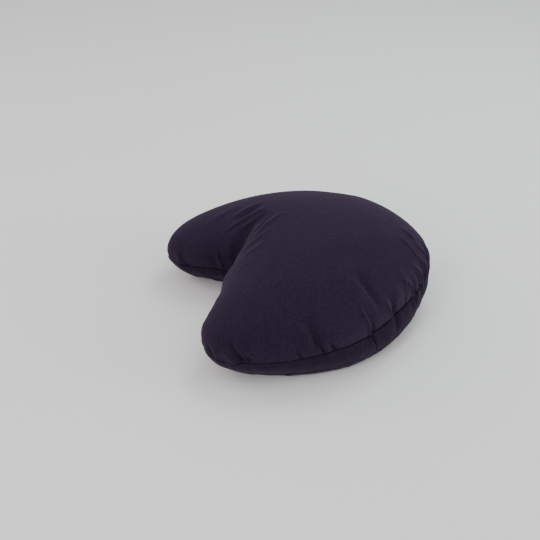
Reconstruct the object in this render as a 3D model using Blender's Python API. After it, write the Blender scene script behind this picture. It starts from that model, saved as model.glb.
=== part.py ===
"""A crescent zafu: a filled cloth meditation cushion with a heel notch.

Metres, +Z up. The cushion stands on its flat base at z = 0, its bounding box centred over the
origin. The two lobes lie towards -X and +X, the notch opens to -Y and the round back faces +Y.

It is sewn from three pieces of cloth, and each is one object here:
  top_panel     the upper half of the filled cushion, from its crown down to the upper seam
  side_band     the strip round the side, a closed ring with one upright join
  bottom_panel  the lower half, from the lower seam down to the flat base
The two panels carry the filling. They meet at half height, hidden behind the band.
"""
import math

import bmesh
import bpy
import numpy as np
from mathutils.geometry import delaunay_2d_cdt

# Sewn outline of both panels, from the bottom of the notch round through +X and the back
OUTLINE = [
    # x, y
    (-0.030, -0.100),
    (-0.005, -0.104),
    (0.040, -0.125),
    (0.090, -0.155),
    (0.140, -0.181),
    (0.180, -0.176),
    (0.207, -0.150),
    (0.221, -0.110),
    (0.228, -0.060),
    (0.225, -0.010),
    (0.212, 0.040),
    (0.185, 0.086),
    (0.150, 0.128),
    (0.110, 0.168),
    (0.062, 0.203),
    (0.005, 0.216),
    (-0.067, 0.201),
    (-0.133, 0.160),
    (-0.191, 0.100),
    (-0.213, 0.031),
    (-0.220, -0.042),
    (-0.206, -0.115),
    (-0.182, -0.171),
    (-0.137, -0.203),
    (-0.098, -0.193),
    (-0.071, -0.158),
    (-0.053, -0.124),
    (-0.041, -0.106),
]
STATIONS = 216              # points round the outline
CURVE_STEPS = 24            # fine steps between two rows of the outline

# Heights of the two seams, and of the dome over the upper one
SEAM_HEIGHT = 0.054         # at the middle of the cushion
SEAM_RISE = 0.050           # slope of the seam, up from the notch side to the back
BAND_DROP = 0.035           # the lower seam lies this much under the upper one
CROWN = 0.096               # the dome's rise over the upper seam
CROWN_POWER = 0.41          # under 0.5 the dome leaves the seam more steeply than a round edge
NOTCH_STEEPER = 0.14        # taken off that power beside the notch, where the sides stand upright
NOTCH_MIDDLE = (0.010, -0.085)
NOTCH_SPREAD = 0.075

# How far the cloth swells out over its seams
DOME_SWELL = 0.005          # all round, over the upper seam
NOTCH_SWELL = 0.009         # more over the two sides of the notch
NOTCH_REACH = 0.066         # how far along the seam from the notch's bottom it swells most
NOTCH_FADE = 0.028          # and over what length along the seam that fades
SWELL_HEIGHT = 0.030        # height over the seam where the dome swells most
SWELL_SPREAD = 0.024
BAND_BULGE = 0.005          # the band, halfway between its seams

# The lower seam and the base
LOWER_INSETS = [            # how much further in than the upper seam it lies
    # share of the way round from the bottom of the notch through +X, inset
    (0.00, 0.016),
    (0.09, 0.018),
    (0.14, 0.027),
    (0.18, 0.027),
    (0.24, 0.016),
    (0.31, 0.001),
    (0.36, -0.008),
    (0.40, -0.008),
    (0.45, 0.001),
    (0.55, 0.012),
    (0.70, 0.016),
    (0.84, 0.035),
    (0.93, 0.025),
]
BASE_TUCK = 0.020           # from the lower seam in to the edge of the flat base
BASE_POWER = 1.6            # how sharply the cloth turns under

# Cloth and the clearances between the pieces
BAND_THICK = 0.0025
GAP = 0.0003
RECESS = BAND_THICK + 1.5 * GAP     # the filling stands back this far behind the band's face

# Soft creases in the dome: lines in plan, a ridge where the height is positive, else a trough
CREASES = [
    # start x, start y, end x, end y, half width, height
    (-0.030, -0.100, -0.076, -0.040, 0.012, -0.011),
    (0.003, -0.080, -0.049, -0.016, 0.009, 0.003),
    (-0.071, -0.115, -0.090, -0.043, 0.009, 0.003),
    (0.201, 0.063, 0.178, 0.042, 0.007, 0.003),
    (0.182, 0.079, 0.138, 0.060, 0.008, -0.004),
    (0.163, 0.118, 0.150, 0.094, 0.008, -0.004),
    (0.124, 0.166, 0.110, 0.126, 0.007, 0.003),
    (0.092, 0.190, 0.098, 0.150, 0.007, 0.003),
    (0.078, 0.196, 0.052, 0.160, 0.007, 0.003),
    (0.040, 0.208, 0.026, 0.176, 0.007, 0.003),
]
CREASE_START = 6.0          # a crease starts this many times as fast as it fades
CREASE_FADE = 0.7

# The band's join, as a share of the way round from the bottom of the notch through +X
JOIN_SHARE = 0.336
JOIN_TUCK = 0.0012          # the two ends turn in this much where they are sewn together
JOIN_REACH = 0.003          # and come back to the band's face over this length

# Mesh: ring distances in from the seam on the dome, point spacing on its top, ring counts
WALL_STEPS = (0.0006, 0.0022, 0.0052, 0.0100, 0.0170, 0.0260)
LATTICE = 0.014
LATTICE_FIELD = 0.3         # half the side of the square that the lattice is laid in
BAND_RINGS = 6
BASE_RINGS = 4
EDGE_CLEARANCE = 0.6        # lattice points keep this many spacings away from the rings
MERGE = 1e-7

AUBERGINE = (0.0210, 0.0160, 0.0300, 1.0)
AUBERGINE_BAND = (0.0165, 0.0125, 0.0240, 1.0)
CLOTH_ROUGHNESS = 0.92


# --- Plan shapes

def smooth_closed(knots, count):
    """Points at even distances along the smooth closed curve through the knots."""
    knots = np.array(knots)
    before = np.roll(knots, 1, axis=0)
    after = np.roll(knots, -1, axis=0)
    beyond = np.roll(knots, -2, axis=0)
    first = after - before
    second = 2.0 * before - 5.0 * knots + 4.0 * after - beyond
    third = 3.0 * knots - before - 3.0 * after + beyond
    spans = []
    for step in np.linspace(0.0, 1.0, CURVE_STEPS, endpoint=False):
        spans.append(knots + 0.5 * (first * step + second * step**2 + third * step**3))
    curve = np.stack(spans, axis=1).reshape(-1, 2)
    closed = np.vstack([curve, curve[:1]])
    run = np.concatenate([[0.0], np.cumsum(np.linalg.norm(np.diff(closed, axis=0), axis=1))])
    places = np.linspace(0.0, run[-1], count, endpoint=False)
    return np.stack([np.interp(places, run, closed[:, axis]) for axis in (0, 1)], axis=1)


def seam_outline():
    """The sewn outline as points in plan, from the bottom of the notch round through +X."""
    return smooth_closed(OUTLINE, STATIONS)


def outward(points):
    """The level outward direction at each point of a closed plan outline."""
    along = np.roll(points, -1, axis=0) - np.roll(points, 1, axis=0)
    along /= np.linalg.norm(along, axis=1)[:, None]
    return np.stack([along[:, 1], -along[:, 0]], axis=1)


def inside(points, outline):
    """Which points lie within a closed plan outline."""
    x, y = points[:, 0], points[:, 1]
    result = np.zeros(len(points), bool)
    for (x0, y0), (x1, y1) in zip(outline, np.roll(outline, -1, axis=0)):
        if y0 != y1:
            crosses = (y0 > y) != (y1 > y)
            result ^= crosses & (x < (x1 - x0) * (y - y0) / (y1 - y0) + x0)
    return result


def lattice_inside(outline, spacing):
    """An even triangular lattice of points within an outline, clear of its edge."""
    points = []
    for number, y in enumerate(np.arange(-LATTICE_FIELD, LATTICE_FIELD, spacing * math.sqrt(0.75))):
        for x in np.arange(-LATTICE_FIELD, LATTICE_FIELD, spacing):
            points.append((x + 0.5 * spacing * (number % 2), y))
    points = np.array(points)
    points = points[inside(points, outline)]
    gaps = np.linalg.norm(points[:, None, :] - outline[None, :, :], axis=2).min(axis=1)
    return points[gaps > EDGE_CLEARANCE * spacing]


def dome_plan(outline):
    """Plan points and faces of the top: rings in from the seam, then an even lattice."""
    facing = outward(outline)
    rings = [outline] + [outline - facing * step for step in WALL_STEPS]
    count = len(outline)
    faces = []
    for ring in range(len(rings) - 1):
        faces += ring_faces(ring * count, (ring + 1) * count, count)
    edge = rings[-1]
    middle = lattice_inside(edge, LATTICE)
    loop = [(number, (number + 1) % count) for number in range(count)]
    points = [tuple(point) for point in np.vstack([edge, middle])]
    triangles = delaunay_2d_cdt(points, loop, [], 1, MERGE)[2]
    first = (len(rings) - 1) * count
    faces += [tuple(first + corner for corner in triangle) for triangle in triangles]
    return np.vstack(rings + [middle]), faces


def ring_faces(lower, upper, count):
    """Quads between two closed rings of vertices, given the number of each ring's first one."""
    faces = []
    for number in range(count):
        beside = (number + 1) % count
        faces.append((lower + number, lower + beside, upper + beside, upper + number))
    return faces


# --- Heights

def seam_height(points):
    """Height of the upper seam over points in plan."""
    return SEAM_HEIGHT + SEAM_RISE * points[:, 1]


def membrane(points, faces, rim_count):
    """Rise of a thin sheet blown up evenly from its fixed rim: 0 there, 1 at its highest."""
    count = len(points)
    pull = np.zeros((count, count))
    push = np.zeros(count)
    for face in faces:
        for number in range(1, len(face) - 1):
            corners = (face[0], face[number], face[number + 1])
            for turn in range(3):
                a, b, c = corners[turn], corners[turn - 2], corners[turn - 1]
                to_a = points[a] - points[c]
                to_b = points[b] - points[c]
                twice_area = abs(to_a[0] * to_b[1] - to_a[1] * to_b[0])
                weight = 0.5 * float(to_a @ to_b) / max(twice_area, MERGE**2)
                pull[a, b] -= weight
                pull[b, a] -= weight
                pull[a, a] += weight
                pull[b, b] += weight
                push[c] += twice_area / 6.0
    free = np.arange(rim_count, count)
    rise = np.zeros(count)
    rise[free] = np.linalg.solve(pull[np.ix_(free, free)], push[free])
    return np.clip(rise / rise.max(), 0.0, 1.0)


def swell(height_over_seam, share_round):
    """How far the dome stands out past its seam, by height and by place round the outline."""
    from_notch = np.minimum(share_round, 1.0 - share_round) * outline_length()
    side = np.exp(-((from_notch - NOTCH_REACH) / NOTCH_FADE)**2)
    most = DOME_SWELL + NOTCH_SWELL * side
    return most * np.exp(-((height_over_seam - SWELL_HEIGHT) / SWELL_SPREAD)**2)


def outline_length():
    """Length of the seam all round."""
    points = seam_outline()
    return float(np.linalg.norm(np.roll(points, -1, axis=0) - points, axis=1).sum())


def crease_heights(plan):
    """Sum of the soft creases at points in plan."""
    total = np.zeros(len(plan))
    for x0, y0, x1, y1, half_width, height in CREASES:
        start = np.array([x0, y0])
        run = np.array([x1, y1]) - start
        length = float(np.linalg.norm(run))
        run /= length
        offset = plan - start
        along = offset @ run / length
        across = offset @ np.array([-run[1], run[0]])
        fade = np.clip(1.0 - along, 0.0, 1.0) * np.clip(1.0 + CREASE_START * along, 0.0, 1.0)
        total += height * np.exp(-(across / half_width)**2) * fade**CREASE_FADE
    return total


def dome_surface(outline):
    """The top as vertices and faces. Its first ring of vertices is the seam."""
    plan, faces = dome_plan(outline)
    count = len(outline)
    rise = membrane(plan, faces, count)
    from_notch = np.linalg.norm(plan - np.array(NOTCH_MIDDLE), axis=1)
    power = CROWN_POWER - NOTCH_STEEPER * np.exp(-(from_notch / NOTCH_SPREAD)**2)
    over_seam = CROWN * rise**power
    facing = outward(outline)
    shares = np.arange(count) / count
    moved = plan.copy()
    for ring in range(1, len(WALL_STEPS) + 1):
        part = slice(ring * count, (ring + 1) * count)
        moved[part] += facing * swell(over_seam[part], shares)[:, None]
    first = (len(WALL_STEPS) + 1) * count
    nearest = np.linalg.norm(plan[first:, None, :] - outline[None, :, :], axis=2).argmin(axis=1)
    moved[first:] += facing[nearest] * swell(over_seam[first:], shares[nearest])[:, None]
    heights = seam_height(plan) + over_seam
    vertices = np.column_stack([moved, heights])
    lift = crease_heights(plan) * np.clip(over_seam / SWELL_HEIGHT, 0.0, 1.0)
    return vertices + surface_normals(vertices, faces) * lift[:, None], faces


def surface_normals(vertices, faces):
    """Smooth normals at the vertices, pointing up and out."""
    normals = np.zeros_like(vertices)
    for face in faces:
        corners = vertices[list(face)]
        flat = np.cross(corners[1] - corners[0], corners[2] - corners[0])
        if len(face) == 4:
            flat += np.cross(corners[2] - corners[0], corners[3] - corners[0])
        normals[list(face)] += flat
    return normals / np.maximum(np.linalg.norm(normals, axis=1), MERGE**2)[:, None]


def lower_insets(count):
    """How far in the lower seam lies, at even places round the outline."""
    shares, insets = np.array(LOWER_INSETS).T
    return np.interp(np.arange(count) / count, shares, insets, period=1.0)


def side_ring(outline, share, back=0.0, lower=0.0):
    """A ring at a share of the band's height, set back behind its face and lowered."""
    out = BAND_BULGE * math.sin(math.pi * share) - lower_insets(len(outline)) * share - back
    plan = outline + outward(outline) * out[:, None]
    return np.column_stack([plan, seam_height(plan) - BAND_DROP * share - lower])


# --- The three pieces

def top_panel(outline):
    """Dome, lip over the band, the wall behind the band and the level face where the halves meet."""
    vertices, faces = dome_surface(outline)
    count = len(outline)
    rings = []
    for ring in range(BAND_RINGS // 2 + 1):
        rings.append(side_ring(outline, ring / BAND_RINGS, back=RECESS))
    below = 0
    for ring in range(len(rings)):
        here = len(vertices) + ring * count
        faces = faces + ring_faces(here, below, count)
        below = here
    faces.append(tuple(range(below, below + count)))
    return np.vstack([vertices] + rings), faces


def bottom_panel(outline):
    """The level face where the halves meet, the wall behind the band, lip, turn and flat base."""
    rings = []
    for ring in range(BAND_RINGS // 2, BAND_RINGS + 1):
        lower = GAP if ring == BAND_RINGS // 2 else 0.0
        rings.append(side_ring(outline, ring / BAND_RINGS, back=RECESS, lower=lower))
    seam = side_ring(outline, 1.0)
    rings.append(seam)
    for ring in range(1, BASE_RINGS + 1):
        share = ring / BASE_RINGS
        plan = outline - outward(outline) * (lower_insets(len(outline)) + BASE_TUCK * share)[:, None]
        rings.append(np.column_stack([plan, seam[:, 2] * (1.0 - share)**BASE_POWER]))
    count = len(outline)
    faces = [tuple(range(count))]
    for ring in range(len(rings) - 1):
        faces += ring_faces((ring + 1) * count, ring * count, count)
    last = (len(rings) - 1) * count
    faces.append(tuple(range(last, last + count)))
    return np.vstack(rings), faces


def side_band(outline):
    """The strip round the side: outer and inner face, both edges, and the two ends at the join."""
    outer, inner = [], []
    for ring in range(BAND_RINGS + 1):
        lower = {0: GAP, BAND_RINGS: -GAP}.get(ring, 0.0)
        outer.append(strip_from_join(side_ring(outline, ring / BAND_RINGS, lower=lower), True))
        inner.append(strip_from_join(
            side_ring(outline, ring / BAND_RINGS, back=BAND_THICK, lower=lower), False))
    sections = np.stack(outer + inner[::-1], axis=1)
    count, around = sections.shape[:2]
    faces = []
    for number in range(count - 1):
        for corner in range(around):
            beside = (corner + 1) % around
            here, ahead = number * around, (number + 1) * around
            faces.append((here + corner, ahead + corner, ahead + beside, here + beside))
    faces.append(tuple(range(around)))
    faces.append(tuple(range((count - 1) * around, count * around)))
    return sections.reshape(-1, 3), faces


def strip_from_join(ring, tucks):
    """A ring opened at the join, its ends a gap apart and, on the outer face, turned in."""
    join = int(round(JOIN_SHARE * len(ring)))
    ring = np.roll(ring, -join, axis=0)
    start, after, before = ring[0], ring[1], ring[-1]
    ahead = (after - start) / np.linalg.norm(after - start)
    behind = (before - start) / np.linalg.norm(before - start)
    inward = -np.append(outward(ring[:, :2])[0], 0.0) * (JOIN_TUCK if tucks else 0.0)
    return np.vstack([
        start + ahead * GAP / 2 + inward,
        start + ahead * JOIN_REACH,
        ring[1:],
        start + behind * JOIN_REACH,
        start + behind * GAP / 2 + inward,
    ])


# --- Blender objects

def cloth(name, colour):
    """A matt cotton of one colour."""
    material = bpy.data.materials.new(name)
    material.use_nodes = True
    shader = material.node_tree.nodes["Principled BSDF"]
    shader.inputs["Base Color"].default_value = colour
    shader.inputs["Roughness"].default_value = CLOTH_ROUGHNESS
    shader.inputs["Metallic"].default_value = 0.0
    return material


def add_object(name, shape, material):
    """A smooth-shaded object from vertices and faces, every face turned to point out."""
    vertices, faces = shape
    mesh = bpy.data.meshes.new(name)
    build = bmesh.new()
    corners = [build.verts.new(vertex) for vertex in vertices]
    for face in faces:
        build.faces.new([corners[number] for number in face])
    bmesh.ops.recalc_face_normals(build, faces=build.faces)
    for face in build.faces:
        face.smooth = len(face.verts) <= 4
    build.to_mesh(mesh)
    build.free()
    mesh.materials.append(material)
    item = bpy.data.objects.new(name, mesh)
    bpy.context.scene.collection.objects.link(item)
    return item


def centre_over_origin(items):
    """Moves the meshes level, so that the middle of their common box is over the origin."""
    corners = np.array([vertex.co for item in items for vertex in item.data.vertices])
    middle = 0.5 * (corners.min(axis=0) + corners.max(axis=0))
    for item in items:
        for vertex in item.data.vertices:
            vertex.co.x -= middle[0]
            vertex.co.y -= middle[1]


def main():
    for item in list(bpy.data.objects):
        bpy.data.objects.remove(item, do_unlink=True)
    outline = seam_outline()
    panel_cloth = cloth("aubergine_cotton", AUBERGINE)
    centre_over_origin([
        add_object("top_panel", top_panel(outline), panel_cloth),
        add_object("side_band", side_band(outline), cloth("aubergine_band", AUBERGINE_BAND)),
        add_object("bottom_panel", bottom_panel(outline), panel_cloth),
    ])


main()
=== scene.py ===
"""Crescent zafu, the visual model.

The filled form of the CAD model is built again as one fine closed skin, which is simulated as
cloth with some slack, split finer and cut at its two seams into the cushion's three sewn pieces.
Folds are then laid over each piece.
"""
import math

import bpy
import numpy as np
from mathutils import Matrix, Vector
from mathutils.geometry import delaunay_2d_cdt


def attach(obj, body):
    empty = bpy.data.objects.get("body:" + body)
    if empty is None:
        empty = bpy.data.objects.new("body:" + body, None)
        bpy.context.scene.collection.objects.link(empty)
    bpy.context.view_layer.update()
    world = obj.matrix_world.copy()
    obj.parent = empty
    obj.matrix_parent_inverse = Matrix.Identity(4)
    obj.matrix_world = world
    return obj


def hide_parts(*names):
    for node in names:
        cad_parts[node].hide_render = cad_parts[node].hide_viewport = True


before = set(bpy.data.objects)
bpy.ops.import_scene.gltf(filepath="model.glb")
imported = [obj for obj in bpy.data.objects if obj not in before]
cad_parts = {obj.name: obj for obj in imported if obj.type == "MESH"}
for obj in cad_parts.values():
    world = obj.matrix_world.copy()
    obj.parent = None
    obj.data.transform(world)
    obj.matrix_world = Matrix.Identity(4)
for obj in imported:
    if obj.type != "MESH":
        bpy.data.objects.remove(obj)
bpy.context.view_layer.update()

# --- The form, as in the CAD model (metres)

OUTLINE = [
    # x, y of the sewn outline, from the bottom of the notch round through +X and the back
    (-0.030, -0.100), (-0.005, -0.104), (0.040, -0.125), (0.090, -0.155),
    (0.140, -0.181), (0.180, -0.176), (0.207, -0.150), (0.221, -0.110),
    (0.228, -0.060), (0.225, -0.010), (0.212, 0.040), (0.185, 0.086),
    (0.150, 0.128), (0.110, 0.168), (0.062, 0.203), (0.005, 0.216),
    (-0.067, 0.201), (-0.133, 0.160), (-0.191, 0.100), (-0.213, 0.031),
    (-0.220, -0.042), (-0.206, -0.115), (-0.182, -0.171), (-0.137, -0.203),
    (-0.098, -0.193), (-0.071, -0.158), (-0.053, -0.124), (-0.041, -0.106),
]
MIDDLE = (0.00396, 0.00626)  # of that plan's box, which lies over the origin in the frame
CURVE_STEPS = 24         # points from one of these places on the outline to the next

SEAM_HEIGHT = 0.054      # of the upper seam where y is 0
SEAM_RISE = 0.050        # its rise for each metre towards the back
BAND_DROP = 0.035        # from the upper seam down to the lower one
CROWN = 0.096            # height of the dome over its seam
CROWN_POWER = 0.41       # of the membrane's rise, which makes the dome steep at its seam
NOTCH_STEEPER = 0.14     # taken off that power beside the notch
NOTCH_MIDDLE = (0.010, -0.085)
NOTCH_SPREAD = 0.075

DOME_SWELL = 0.005       # how far the dome leans out over its seam
NOTCH_SWELL = 0.009      # how much further it leans out on either side of the notch
NOTCH_REACH = 0.066      # distance along the seam from the notch to where that is most
NOTCH_FADE = 0.028       # distance over which it fades from there
SWELL_HEIGHT = 0.030     # height over the seam where the dome leans out most
SWELL_SPREAD = 0.024
BAND_BULGE = 0.005       # of the band at half its height

LOWER_INSETS = [
    # share of the way round, how much further in than the upper seam the lower one lies
    (0.00, 0.016), (0.09, 0.018), (0.14, 0.027), (0.18, 0.027), (0.24, 0.016),
    (0.31, 0.001), (0.36, -0.008), (0.40, -0.008), (0.45, 0.001), (0.55, 0.012),
    (0.70, 0.016), (0.84, 0.035), (0.93, 0.025),
]
BASE_TUCK = 0.020        # from the lower seam in to the edge of the flat base
BASE_POWER = 1.6         # how smoothly the underside runs out into the base

CREASES = [
    # start x, start y, end x, end y, half width, height of a broad crease in the dome
    (-0.030, -0.100, -0.076, -0.040, 0.012, -0.015),
    (-0.110, 0.150, 0.080, 0.150, 0.050, 0.004),
]
CREASE_START = 6.0       # a crease comes up over its length divided by this, before its start
CREASE_FADE = 0.7        # power of the crease's fading to its end

# --- Folds laid over the finer pieces

SEAM_FOLDS = [
    # share of the way round and distance up the cloth, at either end, half width, height
    (0.1955, 0.001, 0.1775, 0.050, 0.0040, -0.0076),
    (0.2005, 0.010, 0.1900, 0.032, 0.0095, -0.0038),
    (0.2015, 0.001, 0.1980, 0.018, 0.0026, -0.0042),
    (0.1865, 0.002, 0.1720, 0.034, 0.0050, 0.0028),
    (0.1600, 0.001, 0.1540, 0.024, 0.0036, -0.0056),
    (0.2525, 0.001, 0.2465, 0.026, 0.0030, -0.0054),
    (0.2760, 0.002, 0.2665, 0.038, 0.0034, -0.0060),
    (0.2685, 0.020, 0.2610, 0.078, 0.0080, -0.0078),
    (0.2880, 0.001, 0.2790, 0.026, 0.0032, -0.0060),
    (0.3318, 0.000, 0.3240, 0.050, 0.0026, 0.0040),
    (0.3250, 0.036, 0.3270, 0.066, 0.0034, 0.0014),
    (0.3365, 0.003, 0.3315, 0.038, 0.0050, -0.0036),
    (0.3295, 0.022, 0.3290, 0.044, 0.0070, -0.0014),
    (0.3665, 0.000, 0.3590, 0.040, 0.0028, 0.0034),
    (0.3740, 0.003, 0.3665, 0.044, 0.0060, -0.0062),
    (0.4165, 0.000, 0.3995, 0.046, 0.0026, 0.0042),
    (0.4005, 0.034, 0.4060, 0.066, 0.0032, 0.0014),
    (0.4215, 0.002, 0.4095, 0.044, 0.0040, -0.0042),
    (0.3950, 0.008, 0.3920, 0.055, 0.0075, -0.0026),
    (0.4430, 0.000, 0.4250, 0.050, 0.0026, 0.0040),
    (0.4340, 0.003, 0.4190, 0.044, 0.0040, -0.0040),
    (0.4540, 0.001, 0.4440, 0.062, 0.0028, 0.0038),
    (0.4600, 0.002, 0.4670, 0.068, 0.0028, 0.0036),
    (0.4500, 0.003, 0.4360, 0.048, 0.0038, -0.0038),
    (0.4740, 0.004, 0.4880, 0.056, 0.0040, 0.0024),
    (0.4690, 0.003, 0.4780, 0.056, 0.0040, -0.0038),
    (0.9820, 0.004, 0.9690, 0.046, 0.0032, 0.0016),
    (0.9925, 0.006, 0.9860, 0.064, 0.0032, 0.0016),
    (0.9360, 0.002, 0.9250, 0.050, 0.0070, -0.0022),
    (0.9285, 0.001, 0.9225, 0.030, 0.0040, 0.0016),
]
BAND_FOLDS = [
    # share of the way round and distance down the band, at either end, half width, height
    (0.3300, 0.000, 0.3330, 0.024, 0.0028, 0.0018),
    (0.3338, 0.002, 0.3362, 0.020, 0.0022, -0.0030),
    (0.3745, 0.001, 0.3705, 0.028, 0.0056, -0.0056),
    (0.4150, 0.001, 0.4110, 0.022, 0.0030, 0.0018),
    (0.4185, 0.001, 0.4150, 0.020, 0.0030, -0.0018),
    (0.2005, 0.001, 0.2030, 0.022, 0.0032, -0.0016),
    (0.2890, 0.001, 0.2960, 0.024, 0.0050, -0.0012),
]
TOP_FOLDS = [
    # start x, start y, end x, end y, bow to the left, half width, height
    (0.184, 0.081, 0.134, 0.057, 0.002, 0.0072, -0.0050),
    (0.077, 0.176, 0.046, 0.154, 0.000, 0.0034, 0.0026),
    (0.050, 0.187, 0.016, 0.168, 0.000, 0.0034, 0.0026),
    (-0.057, -0.087, -0.075, -0.042, 0.000, 0.0036, 0.0030),
    (-0.018, -0.079, -0.068, -0.052, 0.003, 0.0036, 0.0022),
    (0.003, -0.081, -0.052, -0.010, 0.0065, 0.0044, 0.0024),
    (-0.020, -0.069, -0.056, -0.034, 0.002, 0.0060, -0.0028),
    (0.005, -0.089, -0.015, -0.040, -0.003, 0.0042, 0.0014),
    (0.031, -0.101, 0.020, -0.062, 0.000, 0.0042, 0.0012),
    (0.018, -0.095, 0.008, -0.060, 0.000, 0.0055, -0.0010),
    (0.055, -0.108, 0.056, -0.088, 0.000, 0.0040, 0.0007),
    (-0.072, -0.116, -0.093, -0.030, -0.005, 0.0046, 0.0026),
    (-0.066, -0.108, -0.080, -0.056, -0.002, 0.0050, -0.0020),
    (-0.082, -0.092, -0.104, -0.040, -0.002, 0.0055, -0.0030),
    (-0.095, -0.100, -0.119, -0.034, -0.003, 0.0055, 0.0024),
    (-0.112, -0.138, -0.136, -0.070, -0.004, 0.0090, 0.0016),
]
FOLD_STEPS = 9           # points along a fold
FOLD_RISE = 0.0035       # a fold comes up to its height over this distance from the seam
FOLD_START_WIDTH = 0.75  # of its half width at its start
FOLD_WIDEN = 0.6         # of its half width, added by its end
FOLD_REACH = 3.0         # half widths from its middle line, past which a fold is left out
TOP_FADE = 0.8           # power of the fading of a fold on top to both its ends
PATH_BLUR = 0.002        # the surface is averaged over about this distance to find a path on it

CHANCE_FOLDS = [
    # seed, first share, last share, mean spacing as a share, longest reach, greatest height
    (3, 0.205, 0.330, 0.0110, 0.012, 0.0010),
    (4, 0.340, 0.400, 0.0120, 0.014, 0.0010),
    (5, 0.500, 0.915, 0.0160, 0.048, 0.0024),
    (6, 0.945, 1.130, 0.0170, 0.044, 0.0020),
]
CHANCE_BAND = [
    # the same columns, down the band
    (13, 0.00, 0.30, 0.0190, 0.030, 0.0010),
    (14, 0.39, 0.98, 0.0150, 0.032, 0.0014),
]
CHANCE_UNDER = [
    # the same columns, down the underside
    (23, 0.00, 1.00, 0.0180, 0.030, 0.0014),
]
CHANCE_START = 0.001     # distance from the seam to where such a fold starts
CHANCE_LEAN = 0.008      # how far round its far end may lie, as a share
CHANCE_REACH = (0.35, 1.0)  # least and most of the longest reach
CHANCE_WIDTH = (0.0028, 0.0050)
CHANCE_HEIGHT = (0.4, 1.0)  # of the greatest height
CHANCE_SPACING = (0.5, 1.5)  # of the mean spacing

# --- The skin that is simulated

STATIONS = 240           # points round each row
SHARES = np.arange(STATIONS) / STATIONS
RIM = 0.030              # the dome is rings up to this far in from the seam, then a lattice
FIELD_STEPS = (0.00002, 0.00007, 0.0002, 0.0005, 0.001, 0.002, 0.0035,
               0.006, 0.009, 0.013, 0.018, 0.024, RIM)  # of those rings, in from the seam
CURVE_SAMPLES = 160      # along each station's line up the dome, to space its rows evenly
FIRST_SAMPLE = 0.05      # of the first field step
DOME_ROWS = 10
BAND_ROWS = 6
UNDER_ROWS = 5
LATTICE = 0.0064
LATTICE_FIELD = 0.3      # half the side of the square that the lattice is cut from
EDGE_CLEARANCE = 0.6     # of the lattice's spacing, kept free along its edge
SOLVED = 1e-14           # share of its first error at which the membrane is solved
TINY = 1e-9              # keeps divisions clear of zero

HOLD_LATTICE = 0.10      # how firmly the skin is held to the form, where 1 is fast
HOLD_DOME = 0.06
HOLD_SEAM = 0.6
HOLD_BAND = 0.12
HOLD_UNDER = 0.25
HOLD_BASE = 1.0
SLACK = [
    # share of the way round, slack along the seam
    (0.00, 1.0), (0.10, 0.4), (0.17, 1.0), (0.25, 0.8), (0.33, 0.9), (0.40, 1.0),
    (0.45, 1.0), (0.55, 0.8), (0.70, 0.7), (0.85, 1.0), (0.93, 0.6),
]
SLACK_EVEN = 0.55        # slack that is the same all the way round
SLACK_UNEVEN = 0.45      # times the table above, added to it
SLACK_BAND = 0.5         # of the slack beside the seam
SLACK_UNDER = 0.6

SIM_FRAMES = 30
SIM_QUALITY = 6
SIM_MASS = 0.3
SIM_DAMPING = 2.0
SIM_STRETCH = 40.0       # stiffness against stretching and squeezing along the threads
SIM_SHEAR = 12.0
SIM_BEND = 0.4
SIM_PRESSURE = 3.0
SIM_GROW = 0.08          # the cloth is this much larger than the form where its slack is 1
MOST_MOVE = 0.005        # no point ends further than this from the form
BROAD_ROUNDS = 40        # of averaging, which leave only the broad part of the movement

# --- Detail of the sewn pieces

SPLITS = 4               # fine steps to one step of the simulated skin
SEAM_STEPS = (0.0, 0.0005, 0.0011, 0.0018, 0.0026, 0.0036, 0.0048)  # rows beside a seam
FINE_STEP = 0.0016       # between the other rows
SEAM_DEPTH = 0.0019      # how deep the cloth is drawn in along a seam
SEAM_WIDTH = 0.0027      # and over what distance from it
GAP = 0.0004             # between the two edges that meet in a seam
BAND_THICK = 0.0012
WALL_BACK = 0.0045       # the filling's wall stands this far behind the band

WAVE = 0.0007            # how far the seams wander up and down
WAVE_SEEDS = (41, 42)    # of the upper seam and the lower one
WAVE_CYCLES = (12, 48)   # fewest and most waves round the outline
WAVE_FADE = 0.012        # distance over which the cloth beside a seam leaves off wandering
PUCKERS = [
    # fewest and most waves round the outline, height, distance from the seam to where they are
    # highest, distance over which they fade from there, distance over which they start
    (25, 75, 0.0007, 0.007, 0.010, 0.003),
    (80, 160, 0.0003, 0.003, 0.004, 0.0015),
]
TOP_SEED = 11            # of the puckers
BAND_SEEDS = (21, 23)    # at the band's upper edge and its lower one
UNDER_SEED = 31
RIPPLE_SIZE = (0.4, 1.0)  # least and most of one wave in a ripple

JOIN_TOP, JOIN_BOTTOM = 0.3322, 0.3410  # the band's join, as shares of the way round
JOIN_STEPS = (0.0002, 0.0006, 0.0011, 0.0017, 0.0026, 0.0038)  # columns beside the join
JOIN_DEPTH = 0.0018
JOIN_WIDTH = 0.0022


def add_object(name, data):
    made = bpy.data.objects.new(name, data)
    bpy.context.scene.collection.objects.link(made)
    return made


# --- Grids, outlines and surfaces

def cubic(before, here, after, beyond, t):
    """Smooth curve from here to after, for t from 0 to 1."""
    third = 3.0 * (here - after) + beyond - before
    second = 2.0 * before - 5.0 * here + 4.0 * after - beyond + t * third
    return here + 0.5 * t * (after - before + t * second)


def finer_round(grid, splits):
    """A grid with closed rows, with more points along each row."""
    before, after, beyond = (np.roll(grid, step, axis=1) for step in (1, -1, -2))
    parts = [cubic(before, grid, after, beyond, t / splits) for t in range(splits)]
    return np.stack(parts, axis=2).reshape(grid.shape[0], -1, grid.shape[2])


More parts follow.
